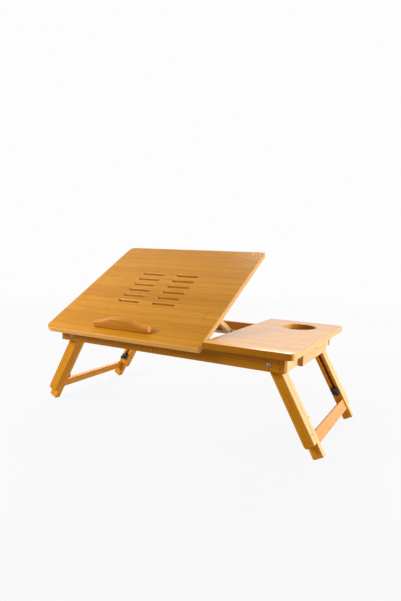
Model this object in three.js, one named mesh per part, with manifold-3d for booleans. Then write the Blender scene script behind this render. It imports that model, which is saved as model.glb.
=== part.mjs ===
// Bamboo bed table with a tilting flap, a fixed side panel with a cup hole, a side drawer
// and two pairs of splayed legs that slide longer and fold flat into the frame.
// Units are millimetres. X runs along the table, Y to the back, Z up.
// The table stands on Z = 0 with its flap raised to the top notch.

import * as THREE from "three";
import { mergeVertices } from "three/addons/utils/BufferGeometryUtils.js";
import Module from "manifold-3d";

const wasm = await Module();
wasm.setup();

// Table top
const topWidth = 550;
const topDepth = 350;
const topHeight = 190;
const boardThickness = 12;
const boardOuterCornerRadius = 14;
const boardInnerCornerRadius = 3;
const boardEdgeEase = 1.5;
const panelWidth = 171;
const panelToFlap = 2;
const flapRearSetback = 3;
const endOverhang = 22.5;
const sideOverhang = 24;

// Clearances
const seatGap = 0.3;
const runGap = 0.5;
const cutOverrun = 1;

// Frame
const apronHeight = 29;
const apronThickness = 13.4;
const stripEase = 0.8;
const dividerThickness = 10;

// Legs
const splay = THREE.MathUtils.degToRad(28.9);
const legWidth = 20.4;
const legThickness = 13.7;
const legEase = 1.2;
const pivotInset = 28.7;
const pivotAboveApronBottom = 12.4;
const upperLegEndRadius = 7.5;
const lowerLegShowing = 23.5;
const lowerLegTopBelowPivot = 11.5;
const footFlat = 3;
const footRound = 2;
const slotWidth = 6.4;
const slotBelowLegTop = 26.3;
const knobAboveFootEnd = 62;
const stretcherAboveFootEnd = 20;
const stretcherWidth = 21;
const stretcherThickness = 6;
const stretcherFromOuterEdge = 3.4;

// Bolts, inserts and wing knobs
const pivotBoltRadius = 2.5;
const boltHeadRadius = 4;
const boltHeadHeight = 1.6;
const pivotNutRadius = 4.8;
const pivotNutHeight = 4;
const boltClearance = 0.3;
const knobScrewRadius = 2.5;
const insertRadius = 4.5;
const insertLength = 9;
const knobHubRadius = 8;
const knobHubHeight = 6;
const knobHeight = 10;
const knobSpan = 21;
const knobWingThickness = 8.4;
const knobTurn = THREE.MathUtils.degToRad(60);
const knobToDivider = 4.8;

// Cup place
const cupHoleRadius = 37.7;
const cupFromPanelEnd = 79;
const cupFromPanelRear = 76;
const cupRestMargin = 6;
const cupRestThickness = 4;

// Drawer
const drawerFrontThickness = 9.7;
const drawerHalfWidth = 77;
const drawerWallThickness = 8;
const drawerWallHeight = 19;
const drawerFrontOverlap = 2.5;
const drawerFrontDrop = 0.4;
const drawerFrontTopGap = 0.7;
const drawerToDivider = 2.4;
const drawerBottomThickness = 3;
const drawerGrooveDepth = 3;
const drawerGrooveRise = 2.5;
const scoopWidth = 46;
const scoopDepth = 9;
const runnerWebThickness = 8;
const runnerLipWidth = 6;
const runnerLipHeight = 3.6;

// Flap, its hinges and its stop ledge
const flapTilt = THREE.MathUtils.degToRad(29.4);
const ventLength = 58;
const ventWidth = 7;
const ventPitch = 22;
const ventRows = 6;
const ventColumnSpread = 90;
const ventFromFlapFront = 118;
const hingeWidth = 50;
const hingeLeafDepth = 16;
const hingeLeafThickness = 1.2;
const hingeKnuckleRadius = 2.6;
const hingePinRadius = 1.3;
const hingeMiddleShare = 0.4;
const flapHingeFromFlapEnd = 88.5;
const ledgeLength = 138;
const ledgeThickness = 12;
const ledgeEndHeight = 14;
const ledgeHumpHeight = 27;
const ledgeEase = 2.2;
const ledgeFromFlapFront = 19;
const ledgeOffCentre = 2;
const pegRadius = 4;
const pegLength = 9;
const pegSpread = 45;

// Prop under the flap
const shutRodToRearApron = 47.5;
const propStripWidth = 20;
const propStripDepth = 11;
const propArmThickness = 10;
const propFromFlapEnd = 47;
const propRodRadius = 2.5;
const propHingeFromPropEnd = 39;
const rackThickness = 7.9;
const rackHeightShare = 0.62;
const notchCount = 4;
const notchDepth = 2.2;
const rackEndLength = 11;

// Curve fineness
const roundSegments = 40;
const smallSegments = 12;
const cornerSegments = 5;
const curveSegments = 5;

// Places that follow from the sizes above
const halfWidth = topWidth / 2;
const halfDepth = topDepth / 2;
const boardUnderside = topHeight - boardThickness;
const apronTop = boardUnderside - seatGap;
const apronBottom = apronTop - apronHeight;
const frameHalfX = halfWidth - endOverhang;
const frameHalfY = halfDepth - sideOverhang;
const apronInnerY = frameHalfY - apronThickness;
const panelLeft = halfWidth - panelWidth;
const flapRight = panelLeft - panelToFlap;
const flapWidth = flapRight + halfWidth;
const flapCentreX = (flapRight - halfWidth) / 2;

const pivotX = frameHalfX - pivotInset;
const pivotZ = apronBottom + pivotAboveApronBottom;
const legHalf = legWidth / 2;
const footEnd = (pivotZ - legHalf * Math.sin(splay)) / Math.cos(splay) + footFlat * Math.sin(splay);
const upperLegEnd = footEnd - lowerLegShowing;
const knobFromPivot = footEnd - knobAboveFootEnd;
const legTravel = knobFromPivot - lowerLegTopBelowPivot - slotBelowLegTop;
const upperLegOuterY = apronInnerY - seatGap;
const upperLegInnerY = upperLegOuterY - legThickness;
const lowerLegOuterY = upperLegInnerY - seatGap;
const lowerLegInnerY = lowerLegOuterY - legThickness;

// The splayed upper leg stops against the lower inner edge of the end apron.
const stopDrop = (pivotAboveApronBottom + legHalf * Math.sin(splay)) / Math.cos(splay);
const endApronInnerX = pivotX + legHalf * Math.cos(splay) + stopDrop * Math.sin(splay) + seatGap;

// Folded flat, the legs and their knobs lie level with the pivots.
const foldedTop = pivotZ + Math.max(legHalf, knobSpan / 2);

const dividerLeft = panelLeft + seatGap;
const dividerRight = dividerLeft + dividerThickness;

const hingeAxisY = -frameHalfY - seatGap - hingeKnuckleRadius;
const hingeAxisZ = boardUnderside + hingeLeafThickness - hingeKnuckleRadius;
const undersideAboveAxis = boardUnderside - hingeAxisZ;
const flapHingeSpread = flapWidth / 2 - flapHingeFromFlapEnd;
const flapHingePlaces = [-1, 1].map((side) => flapCentreX + side * flapHingeSpread);
const flapFrontFromAxis = -halfDepth - hingeAxisY;

// The prop is as long as its hinge is far from the flap's, so its foot moves level.
const propReach = (apronInnerY - shutRodToRearApron - hingeAxisY) / 2;
const propHalfWidth = flapWidth / 2 - propFromFlapEnd;
const propHingeSpread = propHalfWidth - propHingeFromPropEnd;
const propTopBelowAxis = hingeKnuckleRadius - hingeLeafThickness;
const rodBelowAxis = propTopBelowAxis + propStripDepth / 2;

const materials = {
  board: { color: 0xf0b468, roughness: 0.35, metalness: 0 },
  strip: { color: 0xd8963e, roughness: 0.4, metalness: 0 },
  inner: { color: 0xc88a3c, roughness: 0.6, metalness: 0 },
  steel: { color: 0x9a9a98, roughness: 0.35, metalness: 0.9 },
  darkSteel: { color: 0x3a3632, roughness: 0.4, metalness: 0.8 },
  brass: { color: 0xb08a3e, roughness: 0.35, metalness: 0.9 },
  plastic: { color: 0x101012, roughness: 0.35, metalness: 0 },
};

const table = new THREE.Group();

function addMesh(parent, name, geometry, materialName) {
  const mesh = new THREE.Mesh(geometry, new THREE.MeshStandardMaterial(materials[materialName]));
  mesh.name = name;
  parent.add(mesh);
  return mesh;
}

// Joining and cutting

function toSolid(geometry) {
  const bare = geometry.clone();
  bare.deleteAttribute("normal");
  bare.deleteAttribute("uv");
  const merged = mergeVertices(bare, 1e-4);
  return new wasm.Manifold(
    new wasm.Mesh({
      numProp: 3,
      vertProperties: Float32Array.from(merged.attributes.position.array),
      triVerts: Uint32Array.from(merged.index.array),
    }),
  );
}

function toGeometry(solid) {
  const mesh = solid.getMesh();
  const geometry = new THREE.BufferGeometry();
  geometry.setAttribute("position", new THREE.BufferAttribute(mesh.vertProperties, 3));
  geometry.setIndex(new THREE.BufferAttribute(mesh.triVerts, 1));
  geometry.computeVertexNormals();
  return geometry;
}

function combine(base, { joined = [], cut = [] }) {
  let solid = toSolid(base);
  for (const geometry of joined) solid = solid.add(toSolid(geometry));
  for (const geometry of cut) solid = solid.subtract(toSolid(geometry));
  return toGeometry(solid);
}

// Outlines

function rectangle(left, right, low, high) {
  const shape = new THREE.Shape();
  shape.moveTo(left, low);
  shape.lineTo(right, low);
  shape.lineTo(right, high);
  shape.lineTo(left, high);
  shape.closePath();
  return shape;
}

function arcPoints(x, y, radius, from, to, segments) {
  const points = [];
  for (let step = 0; step <= segments; step += 1) {
    const angle = THREE.MathUtils.lerp(from, to, step / segments);
    points.push(new THREE.Vector2(x + radius * Math.cos(angle), y + radius * Math.sin(angle)));
  }
  return points;
}

function roundedRectangle(left, right, low, high, rightRadius, leftRadius = rightRadius) {
  const corners = [
    [right - rightRadius, low + rightRadius, rightRadius],
    [right - rightRadius, high - rightRadius, rightRadius],
    [left + leftRadius, high - leftRadius, leftRadius],
    [left + leftRadius, low + leftRadius, leftRadius],
  ];
  const quarter = Math.PI / 2;
  const points = corners.flatMap(([x, y, radius], index) => {
    return arcPoints(x, y, radius, (index - 1) * quarter, index * quarter, cornerSegments);
  });
  return new THREE.Shape(points);
}

function circle(x, y, radius, segments = smallSegments) {
  return new THREE.Path(arcPoints(x, y, radius, 0, 2 * Math.PI, segments).slice(1));
}

function slotPoints(fromX, fromY, toX, toY, width) {
  const along = Math.atan2(toY - fromY, toX - fromX);
  const quarter = Math.PI / 2;
  return [
    ...arcPoints(toX, toY, width / 2, along - quarter, along + quarter, cornerSegments),
    ...arcPoints(fromX, fromY, width / 2, along + quarter, along + 3 * quarter, cornerSegments),
  ];
}

function slot(...sizes) {
  return new THREE.Path(slotPoints(...sizes));
}

// An outline turned into a piece. The view says which way the outline faces:
// plan lies in X and Y, front lies in X and Z, side lies in Y and Z.
const views = {
  plan: { x: [1, 0, 0], y: [0, 1, 0], out: [0, 0, 1] },
  front: { x: [1, 0, 0], y: [0, 0, 1], out: [0, -1, 0] },
  side: { x: [0, 1, 0], y: [0, 0, 1], out: [1, 0, 0] },
};

function piece(view, outline, from, to, ease = 0, easeSteps = 1) {
  const geometry = new THREE.ExtrudeGeometry(outline, {
    depth: to - from - 2 * ease,
    bevelEnabled: ease > 0,
    bevelThickness: ease,
    bevelSize: ease,
    bevelOffset: -ease,
    bevelSegments: easeSteps,
    curveSegments,
  });
  geometry.translate(0, 0, ease);
  const { x, y, out } = views[view];
  const basis = new THREE.Matrix4().makeBasis(
    new THREE.Vector3(...x),
    new THREE.Vector3(...y),
    new THREE.Vector3(...out),
  );
  geometry.applyMatrix4(basis);
  const start = view === "front" ? -to : from;
  geometry.translate(start * out[0], start * out[1], start * out[2]);
  return geometry;
}

// A round piece about an axis along Y, from a profile of [radius, y] points.
function turned(profile, segments = smallSegments) {
  return new THREE.LatheGeometry(
    profile.map(([radius, y]) => new THREE.Vector2(radius, y)),
    segments,
  );
}

function bar(axis, radius, from, to, segments = smallSegments) {
  const geometry = new THREE.CylinderGeometry(radius, radius, to - from, segments);
  geometry.translate(0, (from + to) / 2, 0);
  if (axis === "x") geometry.rotateZ(-Math.PI / 2);
  if (axis === "z") geometry.rotateX(Math.PI / 2);
  return geometry;
}

// Frame

const frame = new THREE.Group();
table.add(frame);

// A range along Y on the front (-1) or rear (+1) side of the table.
function spanY(end, inner, outer) {
  return end < 0 ? [-outer, -inner] : [inner, outer];
}

// The front apron's top takes the fixed hinge leaves.
function apronMortise(x) {
  const depth = hingeLeafThickness + seatGap + cutOverrun;
  const across = apronThickness + 2 * cutOverrun;
  const mortise = new THREE.BoxGeometry(hingeWidth + 2 * seatGap, across, depth);
  return mortise.translate(x, -(frameHalfY + apronInnerY) / 2, apronTop + cutOverrun - depth / 2);
}

function longApron(name, end) {
  const outline = rectangle(-frameHalfX, frameHalfX, apronBottom, apronTop);
  for (const side of [-1, 1]) {
    outline.holes.push(circle(side * pivotX, pivotZ, pivotBoltRadius + boltClearance));
  }
  const apron = piece("front", outline, ...spanY(end, apronInnerY, frameHalfY), stripEase);
  const cut = end < 0 ? flapHingePlaces.map(apronMortise) : [];
  addMesh(frame, name, combine(apron, { cut }), "strip");
}
longApron("front_apron", -1);
longApron("rear_apron", 1);

const endApronHalfY = apronInnerY - seatGap;
const drawerOpeningHalf = drawerHalfWidth + runGap;

function endApron(name, side, fromY, toY) {
  const outline = rectangle(fromY, toY, apronBottom, apronTop);
  const [from, to] = side < 0 ? [-frameHalfX, -endApronInnerX] : [endApronInnerX, frameHalfX];
  addMesh(frame, name, piece("side", outline, from, to, stripEase), "strip");
}
endApron("left_apron", -1, -endApronHalfY, endApronHalfY);
endApron("right_apron_front", 1, -endApronHalfY, -drawerOpeningHalf);
endApron("right_apron_rear", 1, drawerOpeningHalf, endApronHalfY);

// The divider's ends are cut away below, so that the legs and knobs fold past under them.
function divider() {
  const deepHalf = lowerLegInnerY - knobHeight - seatGap - knobToDivider;
  const tongueBottom = foldedTop + runGap;
  const outline = new THREE.Shape();
  outline.moveTo(-endApronHalfY, apronTop);
  outline.lineTo(-endApronHalfY, tongueBottom);
  outline.lineTo(-deepHalf, tongueBottom);
  outline.lineTo(-deepHalf, apronBottom);
  outline.lineTo(deepHalf, apronBottom);
  outline.lineTo(deepHalf, tongueBottom);
  outline.lineTo(endApronHalfY, tongueBottom);
  outline.lineTo(endApronHalfY, apronTop);
  outline.closePath();
  addMesh(frame, "divider", piece("side", outline, dividerLeft, dividerRight), "inner");
}
divider();

const cupX = halfWidth - cupFromPanelEnd;
const cupY = halfDepth - cupFromPanelRear;
const cupRestBottom = apronTop - cupRestThickness;

function sidePanel() {
  const radii = [boardOuterCornerRadius, boardInnerCornerRadius];
  const outline = roundedRectangle(panelLeft, halfWidth, -halfDepth, halfDepth, ...radii);
  outline.holes.push(circle(cupX, cupY, cupHoleRadius, roundSegments));
  const board = piece("plan", outline, boardUnderside, topHeight, boardEdgeEase, 2);
  addMesh(frame, "side_panel", board, "board");
}
sidePanel();

function cupRest() {
  const half = cupHoleRadius + cupRestMargin;
  const rearEdge = Math.min(cupY + half, endApronHalfY);
  const outline = roundedRectangle(cupX - half, cupX + half, cupY - half, rearEdge, cupRestMargin);
  addMesh(frame, "cup_rest", piece("plan", outline, cupRestBottom, apronTop), "inner");
}
cupRest();

// Drawer: an overlay front on the right end of the frame, and a box on two lipped runners

const drawer = new THREE.Group();
table.add(drawer);

const drawerFrontInner = frameHalfX + seatGap;
const drawerBack = dividerRight + drawerToDivider;
const drawerBoxEnd = drawerFrontInner - seatGap;
const drawerBoxBottom = apronBottom + runnerLipHeight + runGap;
const drawerBoxTop = drawerBoxBottom + drawerWallHeight;
const drawerInnerHalf = drawerHalfWidth - drawerWallThickness;
const grooveBottom = drawerBoxBottom + drawerGrooveRise;
const grooveTop = grooveBottom + drawerBottomThickness + 2 * seatGap;

function drawerFront() {
  const half = drawerOpeningHalf + drawerFrontOverlap;
  const low = apronBottom + drawerFrontDrop;
  const high = boardUnderside - drawerFrontTopGap;
  const scoopHalf = scoopWidth / 2;
  const outline = new THREE.Shape();
  outline.moveTo(-half, low);
  outline.lineTo(half, low);
  outline.lineTo(half, high);
  outline.lineTo(scoopHalf, high);
  outline.bezierCurveTo(scoopHalf / 2, high, scoopHalf / 2, high - scoopDepth, 0, high - scoopDepth);
  outline.bezierCurveTo(-scoopHalf / 2, high - scoopDepth, -scoopHalf / 2, high, -scoopHalf, high);
  outline.lineTo(-half, high);
  outline.closePath();
  const outer = drawerFrontInner + drawerFrontThickness;
  addMesh(drawer, "drawer_front", piece("side", outline, drawerFrontInner, outer, stripEase), "strip");
}
drawerFront();

function drawerSide(name, end) {
  const outline = new THREE.Shape();
  const outer = end * drawerHalfWidth;
  const inner = end * drawerInnerHalf;
  const grooveFloor = end * (drawerInnerHalf + drawerGrooveDepth);
  outline.moveTo(outer, drawerBoxBottom);
  outline.lineTo(outer, drawerBoxTop);
  outline.lineTo(inner, drawerBoxTop);
  outline.lineTo(inner, grooveTop);
  outline.lineTo(grooveFloor, grooveTop);
  outline.lineTo(grooveFloor, grooveBottom);
  outline.lineTo(inner, grooveBottom);
  outline.lineTo(inner, drawerBoxBottom);
  outline.closePath();
  addMesh(drawer, name, piece("side", outline, drawerBack, drawerBoxEnd), "inner");
}
drawerSide("drawer_side_front", -1);
drawerSide("drawer_side_rear", 1);

function drawerBackAndBottom() {
  const backHalf = drawerInnerHalf - seatGap;
  const backLow = grooveTop;
  const back = rectangle(-backHalf, backHalf, backLow, drawerBoxTop);
  addMesh(drawer, "drawer_back", piece("side", back, drawerBack, drawerBack + drawerWallThickness), "inner");

  const bottomHalf = drawerInnerHalf + drawerGrooveDepth - seatGap;
  const bottom = rectangle(drawerBack, drawerBoxEnd, -bottomHalf, bottomHalf);
  const low = grooveBottom + seatGap;
  addMesh(drawer, "drawer_bottom", piece("plan", bottom, low, low + drawerBottomThickness), "inner");
}
drawerBackAndBottom();

function drawerRunner(name, end) {
  const webInner = end * (drawerHalfWidth + runGap);
  const webOuter = end * (drawerHalfWidth + runGap + runnerWebThickness);
  const lipInner = end * (drawerHalfWidth + runGap - runnerLipWidth);
  const lipTop = apronBottom + runnerLipHeight;
  const webTop = cupRestBottom - seatGap;
  const outline = new THREE.Shape();
  outline.moveTo(lipInner, apronBottom);
  outline.lineTo(webOuter, apronBottom);
  outline.lineTo(webOuter, webTop);
  outline.lineTo(webInner, webTop);
  outline.lineTo(webInner, lipTop);
  outline.lineTo(lipInner, lipTop);
  outline.closePath();
  const runner = piece("side", outline, dividerRight + seatGap, endApronInnerX - seatGap);
  addMesh(frame, name, runner, "inner");
}
drawerRunner("drawer_runner_front", -1);
drawerRunner("drawer_runner_rear", 1);

// Legs: an upper leg turns on a bolt inside the long apron, and a slotted lower leg slides beside it

// In a leg's own frame the pivot is the origin, +Z runs up the leg and outer is the side
// that faces away from the table.
function upperLegOutline(side) {
  const outer = side * legHalf;
  const radius = upperLegEndRadius;
  const outline = new THREE.Shape();
  outline.moveTo(outer, 0);
  for (const point of arcPoints(0, 0, outer, 0, side * Math.PI, smallSegments)) {
    outline.lineTo(point.x, point.y);
  }
  outline.lineTo(-outer, -upperLegEnd + radius);
  outline.quadraticCurveTo(-outer, -upperLegEnd, -outer + side * radius, -upperLegEnd);
  outline.lineTo(outer - side * radius, -upperLegEnd);
  outline.quadraticCurveTo(outer, -upperLegEnd, outer, -upperLegEnd + radius);
  outline.closePath();
  outline.holes.push(circle(0, 0, pivotBoltRadius + boltClearance));
  return outline;
}

function lowerLegOutline(side) {
  const outer = side * legHalf;
  const top = -lowerLegTopBelowPivot;
  const topRound = legHalf / 2;
  const flatAcross = footFlat * Math.cos(splay);
  const flatAlong = footFlat * Math.sin(splay);
  const outline = new THREE.Shape();
  outline.moveTo(-outer, -footEnd + flatAlong);
  outline.lineTo(-outer + side * flatAcross, -footEnd);
  outline.lineTo(outer - side * footRound, -footEnd);
  outline.quadraticCurveTo(outer, -footEnd, outer, -footEnd + footRound);
  outline.lineTo(outer, top - topRound);
  outline.quadraticCurveTo(outer, top, outer - side * topRound, top);
  outline.lineTo(-outer + side * topRound, top);
  outline.quadraticCurveTo(-outer, top, -outer, top - topRound);
  outline.closePath();
  outline.holes.push(slot(0, -knobFromPivot, 0, -knobFromPivot + legTravel, slotWidth));
  return outline;
}

function upperLeg(parent, name, side, end) {
  const leg = piece("front", upperLegOutline(side), ...spanY(end, upperLegInnerY, upperLegOuterY), legEase);
  const pocketDepth = insertLength + 2 * seatGap;
  const pocket = bar("y", insertRadius + seatGap, ...spanY(end, upperLegInnerY - cutOverrun, upperLegInnerY + pocketDepth));
  pocket.translate(0, 0, -knobFromPivot);
  addMesh(parent, name, combine(leg, { cut: [pocket] }), "strip");
}

function insertNut(parent, name, end) {
  const inner = knobScrewRadius + boltClearance;
  const [from, to] = spanY(end, upperLegInnerY, upperLegInnerY + insertLength);
  const nut = turned([[inner, from], [insertRadius, from], [insertRadius, to], [inner, to], [inner, from]]);
  nut.translate(0, 0, -knobFromPivot);
  addMesh(parent, name, nut, "brass");
}

function lowerLeg(parent, name, side, end) {
  const leg = piece("front", lowerLegOutline(side), ...spanY(end, lowerLegInnerY, lowerLegOuterY), legEase);
  addMesh(parent, name, leg, "strip");
}

function stretcher(parent, name, side) {
  const outer = side * (legHalf - stretcherFromOuterEdge);
  const inner = outer - side * stretcherThickness;
  const low = -footEnd + stretcherAboveFootEnd;
  const outline = rectangle(Math.min(outer, inner), Math.max(outer, inner), low, low + stretcherWidth);
  const half = lowerLegInnerY - seatGap;
  addMesh(parent, name, piece("front", outline, -half, half, stripEase), "strip");
}

// A wing knob with a moulded-in screw. Its seat is the lower leg's inner face.
function wingKnobGeometry() {
  const screwEnd = legThickness + seatGap + insertLength - boltClearance;
  const body = turned([
    [0, -knobHubHeight],
    [knobHubRadius - stripEase, -knobHubHeight],
    [knobHubRadius, -knobHubHeight + stripEase],
    [knobHubRadius, -seatGap],
    [knobScrewRadius, -seatGap],
    [knobScrewRadius, screwEnd],
    [0, screwEnd],
  ]);
  const tip = (knobSpan - knobWingThickness) / 2;
  const wings = new THREE.Shape(slotPoints(-tip, 0, tip, 0, knobWingThickness));
  return combine(body, { joined: [piece("front", wings, -knobHeight, -stripEase, stripEase)] });
}

function wingKnob(parent, name, side, end) {
  const knob = addMesh(parent, name, wingKnobGeometry(), "plastic");
  knob.position.set(0, end * lowerLegInnerY, -knobFromPivot);
  knob.rotation.set(0, side * knobTurn, end < 0 ? Math.PI : 0, "ZYX");
}

function pivotBolt(name, side, end) {
  const headFrom = frameHalfY + seatGap;
  const nutFrom = upperLegInnerY - seatGap;
  const body = turned([
    [0, nutFrom - pivotNutHeight - stripEase],
    [pivotBoltRadius, nutFrom - pivotNutHeight - stripEase],
    [pivotBoltRadius, headFrom],
    [boltHeadRadius, headFrom],
    [boltHeadRadius * Math.cos(Math.PI / 5), headFrom + boltHeadHeight * Math.sin(Math.PI / 5)],
    [boltHeadRadius * Math.cos(Math.PI / 3), headFrom + boltHeadHeight * Math.sin(Math.PI / 3)],
    [0, headFrom + boltHeadHeight],
  ]);
  const nut = bar("y", pivotNutRadius, nutFrom - pivotNutHeight, nutFrom, 6);
  const bolt = addMesh(frame, name, combine(body, { joined: [nut] }), "darkSteel");
  bolt.position.set(side * pivotX, 0, pivotZ);
  if (end < 0) bolt.rotation.z = Math.PI;
}

for (const [sideName, side] of [["left", -1], ["right", 1]]) {
  const legs = new THREE.Group();
  legs.position.set(side * pivotX, 0, pivotZ);
  legs.rotation.y = -side * splay;
  table.add(legs);
  for (const [endName, end] of [["front", -1], ["rear", 1]]) {
    const at = `${sideName}_${endName}`;
    upperLeg(legs, `upper_leg_${at}`, side, end);
    insertNut(legs, `insert_nut_${at}`, end);
    lowerLeg(legs, `lower_leg_${at}`, side, end);
    wingKnob(legs, `wing_knob_${at}`, side, end);
    pivotBolt(`pivot_bolt_${at}`, side, end);
  }
  stretcher(legs, `stretcher_${sideName}`, side);
}

// Butt hinges. In a hinge's own frame the pin lies along X at the origin.

// The plate lies rearwards of the pin, with its face as far above the pin as stated.
// The middle leaf has the middle knuckle, the outer leaf has the two outer ones.
function hingeLeaf(middle, faceAbovePin = hingeKnuckleRadius) {
  const half = hingeWidth / 2;
  const middleHalf = half * hingeMiddleShare;
  const keepClear = hingeKnuckleRadius + seatGap;
  const spans = middle
    ? [[-middleHalf, middleHalf]]
    : [[-half, -middleHalf - seatGap], [middleHalf + seatGap, half]];
  const others = middle
    ? [[-half - cutOverrun, -middleHalf], [middleHalf, half + cutOverrun]]
    : [[-middleHalf - seatGap, middleHalf + seatGap]];
  const plate = new THREE.BoxGeometry(hingeWidth, hingeLeafDepth, hingeLeafThickness);
  plate.translate(0, hingeLeafDepth / 2, faceAbovePin - hingeLeafThickness / 2);
  const knuckles = spans.map(([from, to]) => bar("x", hingeKnuckleRadius, from, to));
  const clears = others.map(([from, to]) => {
    const box = new THREE.BoxGeometry(to - from, 2 * keepClear, 2 * keepClear);
    return box.translate((from + to) / 2, 0, 0);
  });
  const bore = bar("x", hingePinRadius + seatGap, -half - cutOverrun, half + cutOverrun);
  return combine(plate, { joined: knuckles, cut: [...clears, bore] });
}

function hingePin() {
  return bar("x", hingePinRadius, -hingeWidth / 2, hingeWidth / 2);
}

// The pocket in a board that takes a leaf's plate and clears its knuckle.
function hingePocket(x, y) {
  const depth = undersideAboveAxis + hingeLeafThickness + seatGap;
  const back = hingeLeafDepth + seatGap;
  const front = hingeKnuckleRadius + 2 * seatGap;
  const pocket = new THREE.BoxGeometry(hingeWidth + 2 * seatGap, front + back, depth);
  return pocket.translate(x, y + (back - front) / 2, depth / 2);
}

// Flap: built flat about its hinge axis, then raised

const flap = new THREE.Group();
flap.position.set(0, hingeAxisY, hingeAxisZ);
flap.rotation.x = flapTilt;
table.add(flap);

const propHingePlaces = [-1, 1].map((side) => flapCentreX + side * propHingeSpread);
const ledgeX = flapCentreX + ledgeOffCentre;
const ledgeY = flapFrontFromAxis + ledgeFromFlapFront + ledgeThickness / 2;
const pegPlaces = [-1, 1].map((side) => ledgeX + side * pegSpread);
const flapTopAboveAxis = undersideAboveAxis + boardThickness;

function flapBoard() {
  const left = -halfWidth;
  const rear = flapFrontFromAxis + topDepth - flapRearSetback;
  const radii = [boardInnerCornerRadius, boardOuterCornerRadius];
  const outline = roundedRectangle(left, flapRight, flapFrontFromAxis, rear, ...radii);
  for (let row = 0; row < ventRows; row += 1) {
    const y = flapFrontFromAxis + ventFromFlapFront + row * ventPitch;
    for (const column of [-1, 1]) {
      const centre = flapCentreX + (column * ventColumnSpread) / 2;
      const reach = (ventLength - ventWidth) / 2;
      outline.holes.push(slot(centre - reach, y, centre + reach, y, ventWidth));
    }
  }
  const board = piece("plan", outline, undersideAboveAxis, flapTopAboveAxis, boardEdgeEase);
  const pegHoles = pegPlaces.map((x) => {
    const depth = pegLength + seatGap;
    const hole = bar("z", pegRadius + seatGap, flapTopAboveAxis - depth, flapTopAboveAxis + cutOverrun);
    return hole.translate(x, ledgeY, 0);
  });
  const pockets = [
    ...flapHingePlaces.map((x) => hingePocket(x, 0)),
    ...propHingePlaces.map((x) => hingePocket(x, propReach)),
  ];
  addMesh(flap, "flap", combine(board, { cut: [...pegHoles, ...pockets] }), "board");
}
flapBoard();

// The stop ledge catches what lies on the tilted flap: low ends, and a smooth hump in the middle.
function ledge() {
  const half = ledgeLength / 2;
  const base = flapTopAboveAxis + seatGap;
  const endTop = base + ledgeEndHeight;
  const humpTop = base + ledgeHumpHeight;
  const shoulder = half / 2;
  const endRound = ledgeEndHeight / 2;
  const outline = new THREE.Shape();
  outline.moveTo(-half + endRound / 2, base);
  outline.lineTo(half - endRound / 2, base);
  outline.quadraticCurveTo(half, base, half, base + endRound);
  outline.quadraticCurveTo(half, endTop, half - endRound, endTop);
  outline.bezierCurveTo(shoulder, endTop, shoulder, humpTop, 0, humpTop);
  outline.bezierCurveTo(-shoulder, humpTop, -shoulder, endTop, -half + endRound, endTop);
  outline.quadraticCurveTo(-half, endTop, -half, base + endRound);
  outline.quadraticCurveTo(-half, base, -half + endRound / 2, base);
  const body = piece("front", outline, -ledgeThickness / 2, ledgeThickness / 2, ledgeEase, 2);
  const pegs = [-1, 1].map((side) => {
    const peg = bar("z", pegRadius, flapTopAboveAxis - pegLength + seatGap, base + cutOverrun);
    return peg.translate(side * pegSpread, 0, 0);
  });
  const geometry = combine(body, { joined: pegs });
  geometry.translate(ledgeX, ledgeY, 0);
  addMesh(flap, "ledge", geometry, "strip");
}
ledge();

flapHingePlaces.forEach((x, index) => {
  const at = index === 0 ? "left" : "right";
  const flapLeaf = addMesh(flap, `flap_hinge_leaf_${at}`, hingeLeaf(true), "steel");
  flapLeaf.position.set(x, 0, 0);
  const fixedLeaf = hingeLeaf(false, apronTop - hingeAxisZ);
  const apronLeaf = addMesh(frame, `apron_hinge_leaf_${at}`, fixedLeaf, "steel");
  apronLeaf.position.set(x, hingeAxisY, hingeAxisZ);
  const pin = addMesh(frame, `flap_hinge_pin_${at}`, hingePin(), "steel");
  pin.position.set(x, hingeAxisY, hingeAxisZ);
});

// Prop: a ladder frame hinged under the flap, with a cross rod that rests on two notched racks

const prop = new THREE.Group();
prop.position.set(0, propReach, 0);
prop.rotation.x = -2 * flapTilt;
flap.add(prop);

const propFront = hingeKnuckleRadius + seatGap;
const propTop = -propTopBelowAxis;
const propLow = propTop - propStripDepth;
const rodMargin = propRodRadius + propStripDepth / 3;
const propRear = propReach + rodMargin;
const propLeft = flapCentreX - propHalfWidth;
const propRight = flapCentreX + propHalfWidth;

function rodHole() {
  const hole = bar("x", propRodRadius + seatGap, propLeft, propRight);
  return hole.translate(0, propReach, -rodBelowAxis);
}

function propBar(name, fromY, pocketed, bored) {
  const left = propLeft + propArmThickness + seatGap;
  const right = propRight - propArmThickness - seatGap;
  const outline = rectangle(left, right, fromY, fromY + propStripWidth);
  const strip = piece("plan", outline, propLow, propTop, stripEase);
  const cut = [];
  if (pocketed) {
    for (const x of propHingePlaces) {
      const depth = hingeLeafThickness + seatGap + cutOverrun;
      const reach = hingeLeafDepth + seatGap;
      const pocket = new THREE.BoxGeometry(hingeWidth + 2 * seatGap, reach, depth);
      cut.push(pocket.translate(x, reach / 2, propTop + cutOverrun - depth / 2));
    }
  }
  if (bored) cut.push(rodHole());
  addMesh(prop, name, cut.length ? combine(strip, { cut }) : strip, "strip");
}
propBar("prop_top_bar", propFront, true, false);
propBar("prop_foot_bar", propRear - propStripWidth, false, true);

function propArm(name, from) {
  const outline = roundedRectangle(propFront, propRear, propLow, propTop, propStripDepth / 4);
  outline.holes.push(circle(propReach, -rodBelowAxis, propRodRadius + seatGap));
  addMesh(prop, name, piece("side", outline, from, from + propArmThickness, stripEase), "strip");
}
propArm("prop_arm_left", propLeft);
propArm("prop_arm_right", propRight - propArmThickness);

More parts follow.
